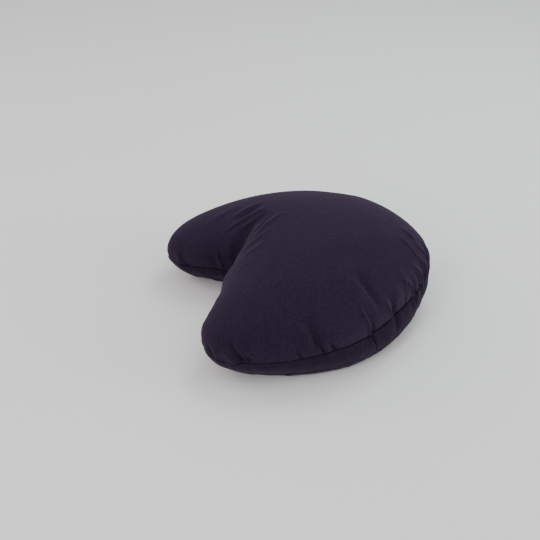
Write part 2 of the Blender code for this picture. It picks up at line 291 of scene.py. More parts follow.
def smooth_closed(knots, count):
    """Points at even distances along the smooth closed curve through the knots."""
    curve = finer_round(np.array([knots]), CURVE_STEPS)[0]
    closed = np.vstack([curve, curve[:1]])
    run = np.concatenate([[0.0], np.cumsum(np.linalg.norm(np.diff(closed, axis=0), axis=1))])
    places = np.linspace(0.0, run[-1], count, endpoint=False)
    return np.stack([np.interp(places, run, closed[:, axis]) for axis in (0, 1)], axis=1)


def outward(points):
    """The level outward direction at each point of a closed plan outline."""
    along = np.roll(points, -1, axis=0) - np.roll(points, 1, axis=0)
    along /= np.linalg.norm(along, axis=1)[:, None]
    return np.stack([along[:, 1], -along[:, 0]], axis=1)


def inside(points, outline):
    """Which points lie within a closed plan outline."""
    x, y = points[:, 0], points[:, 1]
    result = np.zeros(len(points), bool)
    for (x0, y0), (x1, y1) in zip(outline, np.roll(outline, -1, axis=0)):
        if y0 != y1:
            crosses = (y0 > y) != (y1 > y)
            result ^= crosses & (x < (x1 - x0) * (y - y0) / (y1 - y0) + x0)
    return result


def lattice_inside(outline, spacing):
    """An even triangular lattice of points within an outline, clear of its edge."""
    points = []
    between_rows = spacing * math.sqrt(0.75)
    for number, y in enumerate(np.arange(-LATTICE_FIELD, LATTICE_FIELD, between_rows)):
        for x in np.arange(-LATTICE_FIELD, LATTICE_FIELD, spacing):
            points.append((x + 0.5 * spacing * (number % 2), y))
    points = np.array(points)
    points = points[inside(points, outline)]
    gaps = np.full(len(points), np.inf)
    for place in outline:
        gaps = np.minimum(gaps, np.hypot(*(points - place).T))
    return points[gaps > EDGE_CLEARANCE * spacing]


def ring_quads(rows, count):
    """Quads over a grid of closed rows of vertices."""
    row, place = np.meshgrid(np.arange(rows - 1), np.arange(count), indexing="ij")
    here = row * count + place
    beside = row * count + (place + 1) % count
    return np.stack([here, beside, beside + count, here + count], axis=-1).reshape(-1, 4)


def sheet_faces(rows, count, triangles):
    """Triangles over a grid of closed rows and the lattice inside its last row."""
    quads = ring_quads(rows, count)
    return np.vstack([quads[:, [0, 1, 2]], quads[:, [0, 2, 3]], triangles + (rows - 1) * count])


def closing_fan(first, count, centre):
    """Triangles from a closed row, given by its first vertex, to a centre vertex."""
    return [[first + place, first + (place + 1) % count, centre] for place in range(count)]


def normals_of(vertices, triangles):
    """Smooth unit normals at the vertices."""
    a, b, c = (vertices[triangles[:, corner]] for corner in range(3))
    flat = np.cross(b - a, c - a)
    total = np.stack([sum(np.bincount(triangles[:, corner], flat[:, axis], len(vertices))
                          for corner in range(3)) for axis in range(3)], axis=1)
    return total / np.maximum(np.linalg.norm(total, axis=1), TINY**2)[:, None]


def grid_normals(grid, flip=1.0):
    """Unit normals of a grid with closed rows."""
    along = np.roll(grid, -1, axis=1) - np.roll(grid, 1, axis=1)
    up = np.gradient(grid, axis=0)
    normal = np.cross(along, up) * flip
    return normal / np.maximum(np.linalg.norm(normal, axis=2), TINY)[..., None]


def run_down(grid):
    """Mean distance of each row from the first, along the cloth."""
    steps = np.linalg.norm(np.diff(grid, axis=0), axis=2).mean(axis=1)
    return np.concatenate([[0.0], np.cumsum(steps)])


# --- The filled form

def membrane(points, triangles, rim_count):
    """Rise of a thin sheet blown up evenly from its fixed rim: 0 there, 1 at its highest."""
    count = len(points)
    starts, ends, pulls = [], [], []
    push = np.zeros(count)
    for turn in range(3):
        a, b, c = (triangles[:, (turn + step) % 3] for step in range(3))
        to_a, to_b = points[a] - points[c], points[b] - points[c]
        twice_area = np.abs(to_a[:, 0] * to_b[:, 1] - to_a[:, 1] * to_b[:, 0]) + TINY**2
        starts.append(a)
        ends.append(b)
        pulls.append(0.5 * np.einsum("ij,ij->i", to_a, to_b) / twice_area)
        push += np.bincount(c, twice_area / 6.0, count)     # a third of the area to each corner
    start, end, pull = (np.concatenate(part) for part in (starts, ends, pulls))
    whole = np.bincount(start, pull, count) + np.bincount(end, pull, count)
    free = np.arange(count) >= rim_count

    def spread(rise):
        shared = np.bincount(start, pull * rise[end], count)
        shared += np.bincount(end, pull * rise[start], count)
        return (whole * rise - shared) * free

    rise = np.zeros(count)
    left = push * free
    ready = left / whole
    step = ready.copy()
    level = left @ ready
    goal = level * SOLVED
    while level > goal:
        spread_step = spread(step)
        share = level / (step @ spread_step)
        rise += share * step
        left -= share * spread_step
        ready = left / whole
        before, level = level, left @ ready
        step = ready + level / before * step
    return np.clip(rise / rise.max(), 0.0, 1.0)


def seam_height(plan):
    return SEAM_HEIGHT + SEAM_RISE * plan[..., 1]


def over_seam(plan, rise):
    """Height of the dome over its seam, from the membrane's rise."""
    from_notch = np.linalg.norm(plan - np.array(NOTCH_MIDDLE), axis=-1)
    power = CROWN_POWER - NOTCH_STEEPER * np.exp(-(from_notch / NOTCH_SPREAD)**2)
    return CROWN * rise**power


def swell(height, share, length):
    """How far the dome stands out past its seam, by height and by place round the outline."""
    from_notch = np.minimum(share, 1.0 - share) * length
    side = np.exp(-((from_notch - NOTCH_REACH) / NOTCH_FADE)**2)
    return (DOME_SWELL + NOTCH_SWELL * side) * np.exp(-((height - SWELL_HEIGHT) / SWELL_SPREAD)**2)


def crease_heights(plan):
    """Sum of the broad creases at points in plan."""
    total = np.zeros(len(plan))
    for x0, y0, x1, y1, half_width, height in CREASES:
        start = np.array([x0, y0])
        run = np.array([x1, y1]) - start
        length = float(np.linalg.norm(run))
        run /= length
        offset = plan - start
        along = offset @ run / length
        across = offset @ np.array([-run[1], run[0]])
        fade = np.clip(1.0 - along, 0.0, 1.0) * np.clip(1.0 + CREASE_START * along, 0.0, 1.0)
        total += height * np.exp(-(across / half_width)**2) * fade**CREASE_FADE
    return total


def blow_up(outline, facing):
    """The membrane over the plan, on rings that crowd towards the seam and a lattice inside them.

    Gives its rise on each ring but the first, the lattice, its rise there and its triangles.
    """
    rings = [outline] + [outline - facing * step for step in FIELD_STEPS]
    lattice = lattice_inside(rings[-1], LATTICE)
    loop = [(number, (number + 1) % STATIONS) for number in range(STATIONS)]
    spots = [tuple(point) for point in np.vstack([rings[-1], lattice])]
    triangles = np.array(delaunay_2d_cdt(spots, loop, [], 1, TINY)[2])
    faces = sheet_faces(len(rings), STATIONS, triangles)
    rise = membrane(np.vstack(rings + [lattice]), faces, STATIONS)
    on_rings = rise[STATIONS:len(rings) * STATIONS].reshape(len(FIELD_STEPS), STATIONS)
    return on_rings, lattice, rise[len(rings) * STATIONS:], triangles


def dome_rows(outline, facing, length, near):
    """Rows at even distances up the dome from its seam, and the same rows in plan."""
    dome = np.zeros((DOME_ROWS + 1, STATIONS, 3))
    plan = np.zeros((DOME_ROWS + 1, STATIONS, 2))
    fine = np.geomspace(FIELD_STEPS[0] * FIRST_SAMPLE, RIM, CURVE_SAMPLES)
    log_fine, steps = np.log(fine), np.log(FIELD_STEPS)
    for number, share in enumerate(SHARES):
        rises = np.log(near[:, number])
        start = rises[0] + log_fine - steps[0]
        rise = np.exp(np.where(log_fine < steps[0], start, np.interp(log_fine, steps, rises)))
        height = over_seam(outline[number] - facing[number] * fine[:, None], rise)
        out = swell(height, share, length) - swell(0.0, share, length) - fine
        across, up, inset = (np.concatenate([[0.0], values]) for values in (out, height, fine))
        run = np.concatenate([[0.0], np.cumsum(np.hypot(np.diff(across), np.diff(up)))])
        places = np.linspace(0.0, run[-1], DOME_ROWS + 1)
        across, up, inset = (np.interp(places, run, values) for values in (across, up, inset))
        plan[:, number] = outline[number] - facing[number] * inset[:, None]
        dome[:, number, :2] = outline[number] + facing[number] * across[:, None]
        dome[:, number, 2] = seam_height(plan[:, number]) + up
    return dome, plan


def build_form():
    """The filled form: dome rows, lattice points and triangles, band rows and underside rows."""
    outline = smooth_closed(OUTLINE, STATIONS)
    facing = outward(outline)
    length = float(np.linalg.norm(np.roll(outline, -1, axis=0) - outline, axis=1).sum())
    near, lattice, rise, triangles = blow_up(outline, facing)
    dome, dome_plan = dome_rows(outline, facing, length, near)

    # The lattice on its top
    height = over_seam(lattice, rise)
    nearest = np.array([np.hypot(*(outline - point).T).argmin() for point in lattice])
    out = swell(height, SHARES[nearest], length) - swell(0.0, SHARES[nearest], length)
    top = np.column_stack([lattice + facing[nearest] * out[:, None], seam_height(lattice) + height])

    # Band and underside
    insets = np.interp(SHARES, *np.array(LOWER_INSETS).T, period=1.0)
    band = np.zeros((BAND_ROWS + 1, STATIONS, 3))
    for row, part in enumerate(np.linspace(0.0, 1.0, BAND_ROWS + 1)):
        out = BAND_BULGE * math.sin(math.pi * part) - insets * part
        band[row, :, :2] = outline + facing * out[:, None]
        band[row, :, 2] = seam_height(band[row]) - BAND_DROP * part
    under = np.zeros((UNDER_ROWS + 1, STATIONS, 3))
    for row, part in enumerate(np.linspace(0.0, 1.0, UNDER_ROWS + 1)):
        under[row, :, :2] = outline - facing * (insets + BASE_TUCK * part)[:, None]
        under[row, :, 2] = band[-1, :, 2] * (1.0 - part)**BASE_POWER

    # Broad creases
    points = np.vstack([dome.reshape(-1, 3), top])
    plan = np.vstack([dome_plan.reshape(-1, 2), lattice])
    over = np.clip((points[:, 2] - seam_height(plan)) / SWELL_HEIGHT, 0.0, 1.0)
    normals = normals_of(points, sheet_faces(DOME_ROWS + 1, STATIONS, triangles))
    points = points + normals * (crease_heights(plan) * over)[:, None]

    shift = np.array([MIDDLE[0], MIDDLE[1], 0.0])
    return {
        "dome": points[:dome.size // 3].reshape(dome.shape) - shift,
        "top": points[dome.size // 3:] - shift,
        "band": band - shift,
        "under": under - shift,
        "plan": plan - shift[:2],
        "triangles": triangles,
        "length": length,
    }


# --- Cloth simulation

def broad_part(moved, faces):
    """The movement without its wrinkles: averaged over each point's neighbours, again and again."""
    pairs = {pair for face in faces for pair in zip(face, face[1:] + face[:1])}
    start, end = np.array(sorted(pairs | {(b, a) for a, b in pairs})).T
    broad = moved
    for _ in range(BROAD_ROUNDS):
        total = np.stack([np.bincount(start, broad[end, axis]) for axis in range(3)], axis=1)
        broad = 0.5 * (broad + total / np.bincount(start)[:, None])
    return broad


def hold_and_slack(count, rows_down):
    """How firmly each point is held to the form, and how much slack the cloth has there."""
    hold = np.full(count, HOLD_LATTICE)
    slack = np.zeros(count)
    lively = SLACK_EVEN + SLACK_UNEVEN * np.interp(SHARES, *np.array(SLACK).T, period=1.0)
    for row in range(1, DOME_ROWS + 1):
        part = slice(row * STATIONS, (row + 1) * STATIONS)
        hold[part] = HOLD_DOME
        slack[part] = lively * (1.0 - row / DOME_ROWS)
    for part in rows_down[1:BAND_ROWS]:
        hold[part] = HOLD_BAND
        slack[part] = SLACK_BAND * lively
    for row, part in enumerate(rows_down[BAND_ROWS + 1:], start=1):
        hold[part] = HOLD_UNDER
        slack[part] = SLACK_UNDER * lively * (1.0 - row / UNDER_ROWS)
    hold[rows_down[[0, BAND_ROWS]]] = HOLD_SEAM
    hold[rows_down[-1]] = HOLD_BASE
    return hold, slack


def cloth_moves(points, faces, hold, slack):
    """How each point moves when the skin is run through Blender's cloth simulation."""
    mesh = bpy.data.meshes.new("cover_trial")
    mesh.from_pydata(points.tolist(), [], faces)
    trial = add_object("cover_trial", mesh)
    for name, weights in (("hold", hold), ("slack", slack)):
        group = trial.vertex_groups.new(name=name)
        for number, weight in enumerate(weights):
            group.add([number], float(weight), "REPLACE")
    cloth = trial.modifiers.new("cloth", "CLOTH")
    settings = cloth.settings
    settings.quality = SIM_QUALITY
    settings.mass = SIM_MASS
    settings.air_damping = SIM_DAMPING
    settings.tension_stiffness = SIM_STRETCH
    settings.compression_stiffness = SIM_STRETCH
    settings.shear_stiffness = SIM_SHEAR
    settings.bending_stiffness = SIM_BEND
    settings.use_pressure = True
    settings.uniform_pressure_force = SIM_PRESSURE
    settings.effector_weights.gravity = 0.0
    settings.vertex_group_mass = "hold"
    settings.pin_stiffness = 1.0
    settings.shrink_min = 0.0
    settings.shrink_max = -SIM_GROW
    settings.vertex_group_shrink = "slack"
    cloth.collision_settings.use_collision = False
    cloth.collision_settings.use_self_collision = False
    cloth.point_cache.frame_start = 1
    cloth.point_cache.frame_end = SIM_FRAMES
    scene = bpy.context.scene
    for number in range(1, SIM_FRAMES + 1):
        scene.frame_set(number)
    shown = trial.evaluated_get(bpy.context.evaluated_depsgraph_get())
    moved = np.zeros(len(points) * 3)
    shown.data.vertices.foreach_get("co", moved)
    bpy.data.objects.remove(trial, do_unlink=True)
    bpy.data.meshes.remove(mesh)
    scene.frame_set(1)
    return moved.reshape(-1, 3) - points


def simulate(form):
    """The form with the wrinkles that its skin takes in the cloth simulation."""
    dome, top, band, under = form["dome"], form["top"], form["band"], form["under"]
    points = np.vstack([part.reshape(-1, 3) for part in (dome, top, band[1:], under[1:])])
    first_band = (DOME_ROWS + 1) * STATIONS + len(top)
    rows_down = np.arange(STATIONS * (BAND_ROWS + UNDER_ROWS)) + first_band
    rows_down = np.concatenate([np.arange(STATIONS), rows_down]).reshape(-1, STATIONS)
    faces = ring_quads(DOME_ROWS + 1, STATIONS).tolist()
    faces += (form["triangles"] + DOME_ROWS * STATIONS).tolist()
    for upper, lower in zip(rows_down[:-1], rows_down[1:]):
        faces += np.stack([upper, lower, np.roll(lower, -1), np.roll(upper, -1)], axis=1).tolist()
    faces.append(rows_down[-1][::-1].tolist())

    moved = cloth_moves(points, faces, *hold_and_slack(len(points), rows_down))
    moved -= broad_part(moved, faces)
    size = np.linalg.norm(moved, axis=1)
    moved *= np.minimum(1.0, MOST_MOVE / np.maximum(size, TINY))[:, None]
    points = points + moved
    return {
        **form,
        "dome": points[:dome.size // 3].reshape(dome.shape),
        "top": points[dome.size // 3:first_band],
        "band": points[rows_down[:BAND_ROWS + 1]],
        "under": points[rows_down[BAND_ROWS:]],
    }


# --- Finer points

def rows_at(grid, numbers):
    """The grid's rows at fractional places from its first row."""
    longer = np.concatenate([2.0 * grid[:1] - grid[1:2], grid, 2.0 * grid[-1:] - grid[-2:-1]])
    here = np.minimum(numbers.astype(int), len(grid) - 2)
    return cubic(*(longer[here + step] for step in range(4)), (numbers - here)[:, None, None])


def seam_rows(grid, both=False):
    """The grid with fine rows beside its first row, and its last one too if both.

    Gives the rows, their distances from the first and their places among the old rows.
    """
    run = run_down(grid)
    total = run[-1]
    near = np.array(SEAM_STEPS)
    stop = total - near[-1] if both else total
    count = max(2, int(round((stop - near[-1]) / FINE_STEP)))
    places = np.concatenate([near, np.linspace(near[-1], stop, count + 1)[1:]])
    if both:
        places = np.concatenate([places, total - near[::-1][1:]])
    numbers = np.interp(places, run, np.arange(len(grid)))
    return rows_at(grid, numbers), places, numbers


def halve(ring, inner, triangles, ring_normals, finer_ring):
    """One finer level of the lattice: its ring, inner points and triangles."""
    count = len(ring)
    points = np.vstack([ring, inner])
    normals = normals_of(points, triangles)
    normals[:count] += ring_normals
    normals[:count] /= np.linalg.norm(normals[:count], axis=1)[:, None]
    edges = np.vstack([triangles[:, pair] for pair in ([0, 1], [1, 2], [2, 0])])
    edges, place = np.unique(np.sort(edges, axis=1), axis=0, return_inverse=True)
    a, b = edges.T

    # Each new point is the middle of a curve that leaves both ends square to their normals
    run = points[b] - points[a]
    bend = (np.einsum("ij,ij->i", run, normals[a])[:, None] * normals[a]
            - np.einsum("ij,ij->i", run, normals[b])[:, None] * normals[b])
    middles = 0.5 * (points[a] + points[b]) - bend / 8.0
    on_ring = (b < count) & np.isin(b - a, (1, count - 1))
    number = 2 * np.where(b - a == 1, a, b) + 1
    number[~on_ring] = 2 * count + len(inner) + np.arange((~on_ring).sum())
    old = np.concatenate([2 * np.arange(count), 2 * count + np.arange(len(inner))])
    a, b, c = old[triangles].T
    ab, bc, ca = number[place].reshape(3, -1)
    parts = ((a, ab, ca), (b, bc, ab), (c, ca, bc), (ab, bc, ca))
    finer = np.vstack([np.column_stack(part) for part in parts])
    return finer_ring, np.vstack([inner, middles[~on_ring]]), finer


# --- Seams

def ripple(seed, count, fewest, most):
    """A smooth uneven wave round the outline, about -1 to 1."""
    draw = np.random.default_rng(seed)
    place = np.arange(count) / count
    wave = np.zeros(count)
    for cycles in range(fewest, most):
        size = draw.uniform(*RIPPLE_SIZE) / math.sqrt(most - fewest)
        wave += size * np.sin(math.tau * (cycles * place + draw.uniform()))
    return wave


def fading(rows):
    """For each row, how much of its first row's wandering it follows."""
    return np.exp(-run_down(rows) / WAVE_FADE)


def wander(skin):
    """Lets the two seams wander a little up and down, with the cloth on either side of them."""
    upper, lower = (WAVE * ripple(seed, STATIONS, *WAVE_CYCLES) for seed in WAVE_SEEDS)
    dome, band, under = (skin[name].copy() for name in ("dome", "band", "under"))
    dome[..., 2] += np.outer(fading(dome), upper)
    band[..., 2] += np.outer(fading(band), upper) + np.outer(fading(band[::-1])[::-1], lower)
    under[..., 2] += np.outer(fading(under), lower)
    return {**skin, "dome": dome, "band": band, "under": under}


def draw_in(grid, runs, normals, seed, end=False):
    """Draws the cloth in along the seam at its first or last row, with small puckers beside it."""
    far = runs[-1] - runs if end else runs
    push = -SEAM_DEPTH * np.clip(1.0 - far / SEAM_WIDTH, 0.0, 1.0)[:, None]**2
    for number, (fewest, most, height, peak, spread, start) in enumerate(PUCKERS):
        fade = np.exp(-((far - peak) / spread)**2) * np.clip(far / start, 0.0, 1.0)
        push = push + height * fade[:, None] * ripple(seed + number, grid.shape[1], fewest, most)
    return grid + normals * push[..., None]


# --- Folds

def chance_folds(rows):
    """Uneven small folds that start at a seam, ridges and troughs in turn."""
    folds = []
    for seed, place, last, spacing, reach, height in rows:
        draw = np.random.default_rng(seed)
        side = 1.0
        while place < last:
            start = place % 1.0
            far = start + draw.uniform(-CHANCE_LEAN, CHANCE_LEAN)
            long = reach * draw.uniform(*CHANCE_REACH)
            width = draw.uniform(*CHANCE_WIDTH)
            high = side * height * draw.uniform(*CHANCE_HEIGHT)
            folds.append((start, CHANCE_START, far, long, width, high))
            place += spacing * draw.uniform(*CHANCE_SPACING)
            side = -side
    return folds


def on_rows(rows, runs, share, run):
    """The point of a closed grid at a share of the way round and a distance from its first row."""
    count = rows.shape[1]
    row = np.interp(run, runs, np.arange(len(runs)))
    upper = int(min(row, len(rows) - 2))
    place = share * count
    left = math.floor(place)
    part = place - left
    beside = rows[:, left % count] * (1.0 - part) + rows[:, (left + 1) % count] * part
    return beside[upper] + (row - upper) * (beside[upper + 1] - beside[upper])


def seam_paths(rows, runs, folds):
    """For each fold from a seam: its path, half width, height and the distance where it starts."""
    paths = []
    for share, run, far_share, far_run, width, height in folds:
        path = [on_rows(rows, runs, share + t * (far_share - share), run + t * (far_run - run))
                for t in np.linspace(0.0, 1.0, FOLD_STEPS)]
        paths.append((np.array(path), width, height, run))
    return paths


def top_paths(surface, plan, folds):
    """The same for each fold on top, which fades to both ends instead of starting at a seam."""
    paths = []
    for x0, y0, x1, y1, bow, width, height in folds:
        start = np.array([x0, y0]) - MIDDLE
        run = np.array([x1 - x0, y1 - y0])
        left = np.array([-run[1], run[0]]) / np.linalg.norm(run)
        path = []
        for t in np.linspace(0.0, 1.0, FOLD_STEPS):
            spot = start + run * t + left * bow * 4.0 * t * (1.0 - t)
            weight = np.exp(-((plan - spot)**2).sum(axis=1) / (2.0 * PATH_BLUR**2))
            path.append(weight @ surface / weight.sum())
        paths.append((np.array(path), width, height, None))
    return paths


def fold_shape(points, path):
    """Distance of each point from the path, and how far along the path it lies, from 0 to 1."""
    nearest = np.full(len(points), np.inf)
    along = np.zeros(len(points))
    for number, (start, end) in enumerate(zip(path[:-1], path[1:])):
        run = end - start
        part = np.clip((points - start) @ run / (run @ run), 0.0, 1.0)
        away = np.linalg.norm(points - start - part[:, None] * run, axis=1)
        closer = away < nearest
        nearest[closer] = away[closer]
        along[closer] = (number + part[closer]) / (len(path) - 1)
    return nearest, along


def fold_push(points, paths):
    """How far the folds on these paths raise each point or press it in."""
    push = np.zeros(len(points))
    for path, width, height, start in paths:
        reach = FOLD_REACH * width
        low, high = path.min(axis=0) - reach, path.max(axis=0) + reach
        index = np.nonzero(np.all((points > low) & (points < high), axis=1))[0]
        away, along = fold_shape(points[index], path)
        if start is None:
            fade = np.sin(math.pi * np.clip(along, 0.0, 1.0))**TOP_FADE
        else:
            length = float(np.linalg.norm(np.diff(path, axis=0), axis=1).sum())
            fade = np.clip((start + along * length) / FOLD_RISE, 0.0, 1.0) * (1.0 - along**2)
        half_width = width * (FOLD_START_WIDTH + FOLD_WIDEN * along)
        push[index] += height * fade * np.exp(-(away / half_width)**2)
    return push


def fold_rows(rows, runs, normals, folds):
    """The grid with folds that start at its first row and lie flat again at its last one."""
    push = fold_push(rows.reshape(-1, 3), seam_paths(rows, runs, folds))
    ease = np.clip((runs[-1] - runs) / FOLD_RISE, 0.0, 1.0)
    return rows + normals * (push.reshape(rows.shape[:2]) * ease[:, None])[..., None]


# --- Pieces

def add_piece(name, vertices, faces, coordinates):
    """A smooth mesh object with its cloth coordinates as a UV map."""
    mesh = bpy.data.meshes.new(name)
    mesh.from_pydata(vertices.tolist(), [], faces)
    mesh.polygons.foreach_set("use_smooth", np.ones(len(mesh.polygons), bool))
    corners = np.zeros(len(mesh.loops), int)
    mesh.loops.foreach_get("vertex_index", corners)
    layer = mesh.uv_layers.new(name="cloth")
    layer.uv.foreach_set("vector", coordinates[corners].astype(np.float32).ravel())
    mesh.validate()
    mesh.update()
    return add_object(name, mesh)


def wall_behind(band):
    """The filling's upright wall behind some rows of the band."""
    wall = finer_round(band, SPLITS)
    facing = grid_normals(wall, -1.0)
    facing[..., 2] = 0.0
    facing /= np.linalg.norm(facing, axis=2)[..., None]
    return wall - facing * WALL_BACK


def finer_lattice(skin, zones):
    """The lattice split as finely as the last of the zones, ever finer grids that end at its ring.

    Gives its inner points, its ring and inner points in plan, and its triangles.
    """
    plan = skin["plan"][DOME_ROWS * STATIONS:]
    plan = np.column_stack([plan, np.zeros(len(plan))])
    plan_ring, plan_inner = plan[:STATIONS], plan[STATIONS:]
    ring, inner, triangles = skin["dome"][-1], skin["top"], skin["triangles"]
    for coarse, zone in zip(zones[:-1], zones[1:]):
        up = np.tile([0.0, 0.0, 1.0], (len(plan_ring), 1))
        finer_plan = finer_round(plan_ring[None], 2)[0]
        plan_ring, plan_inner, _ = halve(plan_ring, plan_inner, triangles, up, finer_plan)
        ring, inner, triangles = halve(ring, inner, triangles, grid_normals(coarse)[-1], zone[-1])
    return inner, plan_ring[:, :2], plan_inner[:, :2], triangles


def make_top(skin):
    zones = [finer_round(skin["dome"], splits) for splits in (1, SPLITS // 2, SPLITS)]
    inner, plan_ring, plan_inner, triangles = finer_lattice(skin, zones)
    rows, runs, numbers = seam_rows(zones[-1])
    rows = draw_in(rows, runs, grid_normals(rows), TOP_SEED)
    rows[0, :, 2] += GAP / 2
    count = rows.shape[1]

    # Folds
    plan_rows = skin["plan"][:(DOME_ROWS + 1) * STATIONS].reshape(DOME_ROWS + 1, STATIONS, 2)
    plan_rows = rows_at(finer_round(plan_rows, SPLITS), numbers)
    plan = np.vstack([plan_rows.reshape(-1, 2), plan_inner])
    surface = np.vstack([rows.reshape(-1, 3), inner])
    paths = seam_paths(rows, runs, SEAM_FOLDS + chance_folds(CHANCE_FOLDS))
    push = fold_push(surface, paths + top_paths(surface, plan, TOP_FOLDS))
    normals = normals_of(surface, sheet_faces(len(rows), count, triangles))
    surface = surface + normals * push[:, None]
    rows = surface[:rows.size // 3].reshape(rows.shape)
    inner = surface[rows.size // 3:]

    # The wall behind the band, down to half its height
    wall = wall_behind(skin["band"][:BAND_ROWS // 2 + 1])
    wall[0, :, 2] = rows[0, :, 2]
    back = np.concatenate([wall[::-1], rows])
    vertices = np.vstack([back.reshape(-1, 3), inner, wall[-1].mean(axis=0)])
    faces = ring_quads(len(back), count).tolist()
    faces += (triangles + (len(back) - 1) * count).tolist()
    faces += [face[::-1] for face in closing_fan(0, count, len(vertices) - 1)]

    # Cloth coordinates: the plan on top, continued outwards down the sides
    out = outward(plan_ring)
    sides = [plan_ring + out * (runs[-1] - run) for run in [runs[0]] * len(wall) + list(runs)]
    coordinates = np.vstack(sides + [plan_inner, plan_ring.mean(axis=0)])
    return add_piece("top_panel_cloth", vertices, faces, coordinates)


def make_bottom(skin):
    rows, runs, _ = seam_rows(finer_round(skin["under"], SPLITS))
    normals = grid_normals(rows, -1.0)
    rows = draw_in(rows, runs, normals, UNDER_SEED)
    rows = fold_rows(rows, runs, normals, chance_folds(CHANCE_UNDER))
    rows[0, :, 2] -= GAP / 2
    rows[:, :, 2] = np.maximum(rows[:, :, 2], 0.0)
    count = rows.shape[1]
    wall = wall_behind(skin["band"][BAND_ROWS // 2:])
    wall[-1, :, 2] = rows[0, :, 2]
    wall[0, :, 2] -= GAP
    back = np.concatenate([wall, rows])
    vertices = np.vstack([back.reshape(-1, 3), wall[0].mean(axis=0), rows[-1].mean(axis=0)])
    faces = ring_quads(len(back), count)[:, ::-1].tolist()
    faces += closing_fan(0, count, len(vertices) - 2)
    faces += [face[::-1] for face in closing_fan((len(back) - 1) * count, count, len(vertices) - 1)]
    return add_piece("bottom_panel_cloth", vertices, faces, vertices[:, :2])


def make_band(skin):
    rows, runs, _ = seam_rows(finer_round(skin["band"], SPLITS), both=True)
    normals = grid_normals(rows, -1.0)
    rows = draw_in(rows, runs, normals, BAND_SEEDS[0])
    rows = draw_in(rows, runs, normals, BAND_SEEDS[1], end=True)
    rows = fold_rows(rows, runs, normals, BAND_FOLDS + chance_folds(CHANCE_BAND))
    rows[0, :, 2] -= GAP / 2
    rows[-1, :, 2] += GAP / 2
    count = rows.shape[1]
    inner = rows - normals * BAND_THICK

    # Columns from one side of the join round to the other
    step = skin["length"] / count
    beside = np.array(JOIN_STEPS) / step
    last = math.ceil(beside[-1])
    columns = np.concatenate([beside, np.arange(last + 1, count - last), count - beside[::-1]])
    far = np.minimum(columns, count - columns) * step
    tuck = JOIN_DEPTH * np.clip(1.0 - far / JOIN_WIDTH, 0.0, 1.0)**2
    outer_rows, inner_rows = [], []
    for row, run in enumerate(runs):
        places = columns + (JOIN_TOP + (JOIN_BOTTOM - JOIN_TOP) * run / runs[-1]) * count
        here = np.floor(places).astype(int)
        part = (places - here)[:, None]
        near = np.array([(here + offset) % count for offset in (-1, 0, 1, 2)])
        sunk = normals[row][here % count] * tuck[:, None]
        outer_rows.append(cubic(*rows[row][near], part) - sunk)
        inner_rows.append(cubic(*inner[row][near], part) - sunk)

    # The band as one ring of vertices at each column, and a cap at either side of the join
    rings = np.stack(outer_rows + inner_rows[::-1], axis=1)
    around = rings.shape[1]
    last = (len(rings) - 1) * around
    faces = np.roll(ring_quads(len(rings), around), -1, axis=1).tolist()
    for corner in range(len(rows) - 1):
        other = around - 1 - corner
        cap = [corner, corner + 1, other - 1, other]
        faces.append(cap[::-1])
        faces.append([last + number for number in cap])
    across = np.concatenate([runs, runs[::-1]])
    coordinates = np.column_stack([np.repeat(columns * step, around), np.tile(across, len(rings))])
    return add_piece("side_band_cloth", rings.reshape(-1, 3), faces, coordinates)


# --- Materials

PANEL_COLOURS = ((0.0079, 0.0051, 0.0131), (0.0262, 0.0174, 0.0398))  # darkest, lightest
# The band's colours are the panel's colours made about a fifth darker: painted shade, standing in
# for the shade that falls on the band
BAND_SHADED_COLOURS = ((0.0064, 0.0038, 0.0100), (0.0206, 0.0130, 0.0304))
FINISH = {
    "Roughness": 0.92,
    "Specular IOR Level": 0.08,
    "Sheen Weight": 0.07,
    "Sheen Roughness": 0.5,
    "Sheen Tint": (0.74, 0.50, 0.80, 1.0),
}
MOTTLE = {"Scale": 16.0, "Detail": 4.0, "Roughness": 0.6}
GRAIN = {"Scale": 1050.0, "Detail": 1.0, "Roughness": 0.5}
THREADS = {"Scale": 900.0, "Detail": 2.0, "Roughness": 0.7}
HAND = {"Scale": 55.0, "Detail": 5.0, "Roughness": 0.62}
RIBS = {"Scale": 140.0, "Distortion": 1.2, "Detail": 1.0, "Detail Scale": 3.0}
RIB_ANGLE = 58.0         # degrees between the ribs and the cloth's first direction
GRAIN_PART = 5.2         # how strongly the colour follows the grain, the mottling and the ribs
MOTTLE_PART = 0.6
RIB_PART = 0.90
COLOUR_START = -2.87     # brings their sum to about 0 to 1
WEAVE_BUMP = {"Strength": 0.35, "Distance": 0.0004}
HAND_BUMP = {"Strength": 0.25, "Distance": 0.0012}


def set_inputs(made, values):
    for name, value in values.items():
        made.inputs[name].default_value = value


def noise(tree, place, values):
    """The value of a noise texture at a place."""
    made = tree.nodes.new("ShaderNodeTexNoise")
    set_inputs(made, values)
    tree.links.new(place, made.inputs["Vector"])
    return made.outputs["Fac"]


def multiply_add(tree, value, factor):
    """A node for value * factor + its third input."""
    made = tree.nodes.new("ShaderNodeMath")
    made.operation = "MULTIPLY_ADD"
    tree.links.new(value, made.inputs[0])
    made.inputs[1].default_value = factor
    return made


def bump(tree, height, values):
    made = tree.nodes.new("ShaderNodeBump")
    set_inputs(made, values)
    tree.links.new(height, made.inputs["Height"])
    return made


